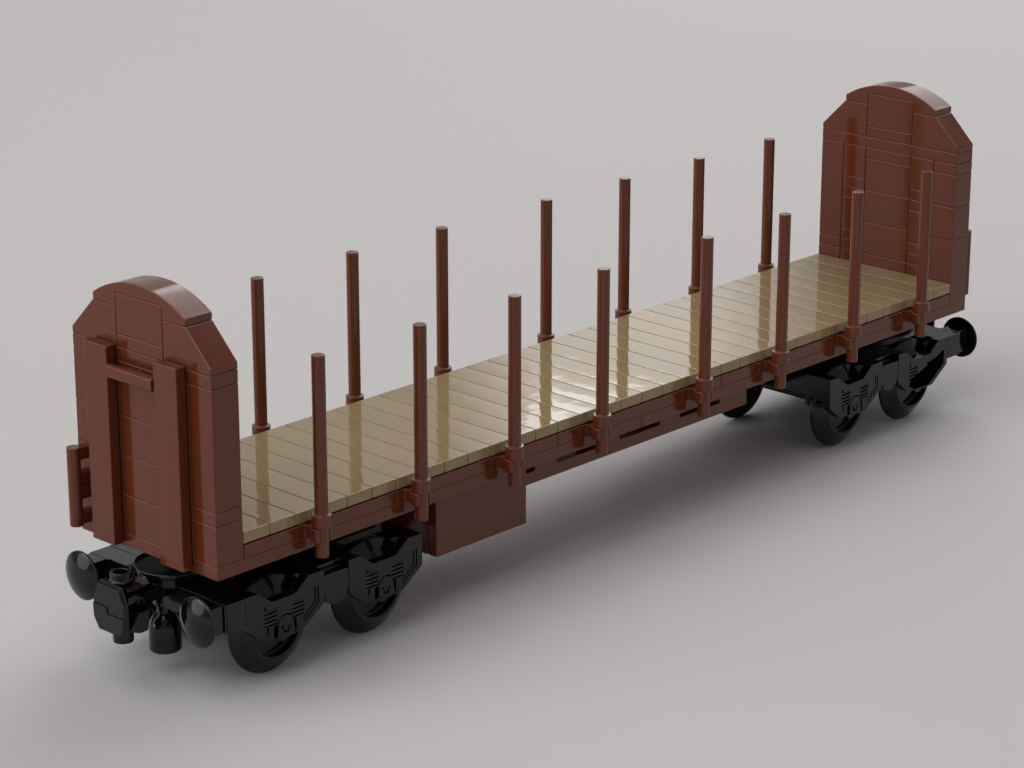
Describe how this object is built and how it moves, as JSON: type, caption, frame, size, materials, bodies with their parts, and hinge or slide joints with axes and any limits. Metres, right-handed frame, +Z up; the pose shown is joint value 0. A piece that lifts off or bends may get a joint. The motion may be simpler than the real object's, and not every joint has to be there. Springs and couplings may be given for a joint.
{
  "type": "model bulkhead flat wagon",
  "caption": "Toy-brick bulkhead flat wagon with stepped end walls, lift-out side stakes, plank deck, swivelling bogies, sprung-style side frames, buffers and magnetic couplers.",
  "frame": {"origin": "centre of the wagon's footprint, on the plane its wheel flanges stand on", "axes": "+X along the wagon towards the rear end, +Y across it to the right side, +Z up"},
  "size_m": [0.3128, 0.0606, 0.0938],
  "materials": {
    "brown_plastic": "glossy moulded plastic, reddish brown",
    "tan_plastic": "glossy moulded plastic, dark tan",
    "black_plastic": "glossy moulded plastic, black",
    "axle_steel": "drawn steel rod",
    "magnet_steel": "nickel-plated magnet"
  },
  "bodies": {
    "wagon": {"sill_plates": "brown_plastic", "floor_plates": "brown_plastic", "floor_middle_plate": "brown_plastic", "stake_clips": "brown_plastic", "front_wall_bricks": "brown_plastic", "rear_wall_bricks": "brown_plastic", "grab_bricks": "brown_plastic", "slope_bricks": "brown_plastic", "arch_caps": "brown_plastic", "battens": "brown_plastic", "cross_bars": "brown_plastic", "deck_planks": "tan_plastic", "tool_boxes": "brown_plastic", "tool_box_fronts": "brown_plastic", "truss_rails": "brown_plastic", "bogie_pivots": "black_plastic"},
    "front_bogie": {"front_bogie_plate": "black_plastic", "front_axle_holders": "black_plastic", "front_cross_beam": "black_plastic", "front_buffer_beam": "black_plastic", "front_buffers": "black_plastic", "front_hanging_peg": "black_plastic"},
    "front_coupler": {"front_coupler_housing": "black_plastic", "front_coupler_magnet": "magnet_steel", "front_coupler_pin": "black_plastic"},
    "rear_bogie": {"rear_bogie_plate": "black_plastic", "rear_axle_holders": "black_plastic", "rear_cross_beam": "black_plastic", "rear_buffer_beam": "black_plastic", "rear_buffers": "black_plastic", "rear_hanging_peg": "black_plastic"},
    "rear_coupler": {"rear_coupler_housing": "black_plastic", "rear_coupler_magnet": "magnet_steel", "rear_coupler_pin": "black_plastic"},
    "wheelset_1": {"wheels_1": "black_plastic", "axle_1": "axle_steel"},
    "wheelset_2": {"wheels_2": "black_plastic", "axle_2": "axle_steel"},
    "wheelset_3": {"wheels_3": "black_plastic", "axle_3": "axle_steel"},
    "wheelset_4": {"wheels_4": "black_plastic", "axle_4": "axle_steel"},
    "stake_left_1": {"stake_left_1": "brown_plastic"},
    "stake_left_2": {"stake_left_2": "brown_plastic"},
    "stake_left_3": {"stake_left_3": "brown_plastic"},
    "stake_left_4": {"stake_left_4": "brown_plastic"},
    "stake_left_5": {"stake_left_5": "brown_plastic"},
    "stake_left_6": {"stake_left_6": "brown_plastic"},
    "stake_left_7": {"stake_left_7": "brown_plastic"},
    "stake_left_8": {"stake_left_8": "brown_plastic"},
    "stake_right_1": {"stake_right_1": "brown_plastic"},
    "stake_right_2": {"stake_right_2": "brown_plastic"},
    "stake_right_3": {"stake_right_3": "brown_plastic"},
    "stake_right_4": {"stake_right_4": "brown_plastic"},
    "stake_right_5": {"stake_right_5": "brown_plastic"},
    "stake_right_6": {"stake_right_6": "brown_plastic"},
    "stake_right_7": {"stake_right_7": "brown_plastic"},
    "stake_right_8": {"stake_right_8": "brown_plastic"}
  },
  "joints": [
    {"name": "front_bogie_swivel", "type": "hinge", "parent": "wagon", "child": "front_bogie", "pos_m": [-0.108, 0, 0.025], "axis": [0, 0, 1], "range_deg": [-15, 15]},
    {"name": "front_coupler_swivel", "type": "hinge", "parent": "front_bogie", "child": "front_coupler", "pos_m": [-0.1522, 0, 0.0207], "axis": [0, 0, 1], "range_deg": [-30, 30]},
    {"name": "rear_bogie_swivel", "type": "hinge", "parent": "wagon", "child": "rear_bogie", "pos_m": [0.108, 0, 0.025], "axis": [0, 0, 1], "range_deg": [-15, 15]},
    {"name": "rear_coupler_swivel", "type": "hinge", "parent": "rear_bogie", "child": "rear_coupler", "pos_m": [0.1522, 0, 0.0207], "axis": [0, 0, 1], "range_deg": [-30, 30]},
    {"name": "wheelset_1_spin", "type": "hinge", "parent": "front_bogie", "child": "wheelset_1", "pos_m": [-0.124, 0, 0.012], "axis": [0, 1, 0], "continuous": true},
    {"name": "wheelset_2_spin", "type": "hinge", "parent": "front_bogie", "child": "wheelset_2", "pos_m": [-0.092, 0, 0.012], "axis": [0, 1, 0], "continuous": true},
    {"name": "wheelset_3_spin", "type": "hinge", "parent": "rear_bogie", "child": "wheelset_3", "pos_m": [0.092, 0, 0.012], "axis": [0, 1, 0], "continuous": true},
    {"name": "wheelset_4_spin", "type": "hinge", "parent": "rear_bogie", "child": "wheelset_4", "pos_m": [0.124, 0, 0.012], "axis": [0, 1, 0], "continuous": true},
    {"name": "stake_left_1_lift", "type": "slide", "parent": "wagon", "child": "stake_left_1", "axis": [0, 0, 1], "range_m": [0, 0.012]},
    {"name": "stake_left_2_lift", "type": "slide", "parent": "wagon", "child": "stake_left_2", "axis": [0, 0, 1], "range_m": [0, 0.012]},
    {"name": "stake_left_3_lift", "type": "slide", "parent": "wagon", "child": "stake_left_3", "axis": [0, 0, 1], "range_m": [0, 0.012]},
    {"name": "stake_left_4_lift", "type": "slide", "parent": "wagon", "child": "stake_left_4", "axis": [0, 0, 1], "range_m": [0, 0.012]},
    {"name": "stake_left_5_lift", "type": "slide", "parent": "wagon", "child": "stake_left_5", "axis": [0, 0, 1], "range_m": [0, 0.012]},
    {"name": "stake_left_6_lift", "type": "slide", "parent": "wagon", "child": "stake_left_6", "axis": [0, 0, 1], "range_m": [0, 0.012]},
    {"name": "stake_left_7_lift", "type": "slide", "parent": "wagon", "child": "stake_left_7", "axis": [0, 0, 1], "range_m": [0, 0.012]},
    {"name": "stake_left_8_lift", "type": "slide", "parent": "wagon", "child": "stake_left_8", "axis": [0, 0, 1], "range_m": [0, 0.012]},
    {"name": "stake_right_1_lift", "type": "slide", "parent": "wagon", "child": "stake_right_1", "axis": [0, 0, 1], "range_m": [0, 0.012]},
    {"name": "stake_right_2_lift", "type": "slide", "parent": "wagon", "child": "stake_right_2", "axis": [0, 0, 1], "range_m": [0, 0.012]},
    {"name": "stake_right_3_lift", "type": "slide", "parent": "wagon", "child": "stake_right_3", "axis": [0, 0, 1], "range_m": [0, 0.012]},
    {"name": "stake_right_4_lift", "type": "slide", "parent": "wagon", "child": "stake_right_4", "axis": [0, 0, 1], "range_m": [0, 0.012]},
    {"name": "stake_right_5_lift", "type": "slide", "parent": "wagon", "child": "stake_right_5", "axis": [0, 0, 1], "range_m": [0, 0.012]},
    {"name": "stake_right_6_lift", "type": "slide", "parent": "wagon", "child": "stake_right_6", "axis": [0, 0, 1], "range_m": [0, 0.012]},
    {"name": "stake_right_7_lift", "type": "slide", "parent": "wagon", "child": "stake_right_7", "axis": [0, 0, 1], "range_m": [0, 0.012]},
    {"name": "stake_right_8_lift", "type": "slide", "parent": "wagon", "child": "stake_right_8", "axis": [0, 0, 1], "range_m": [0, 0.012]}
  ]
}
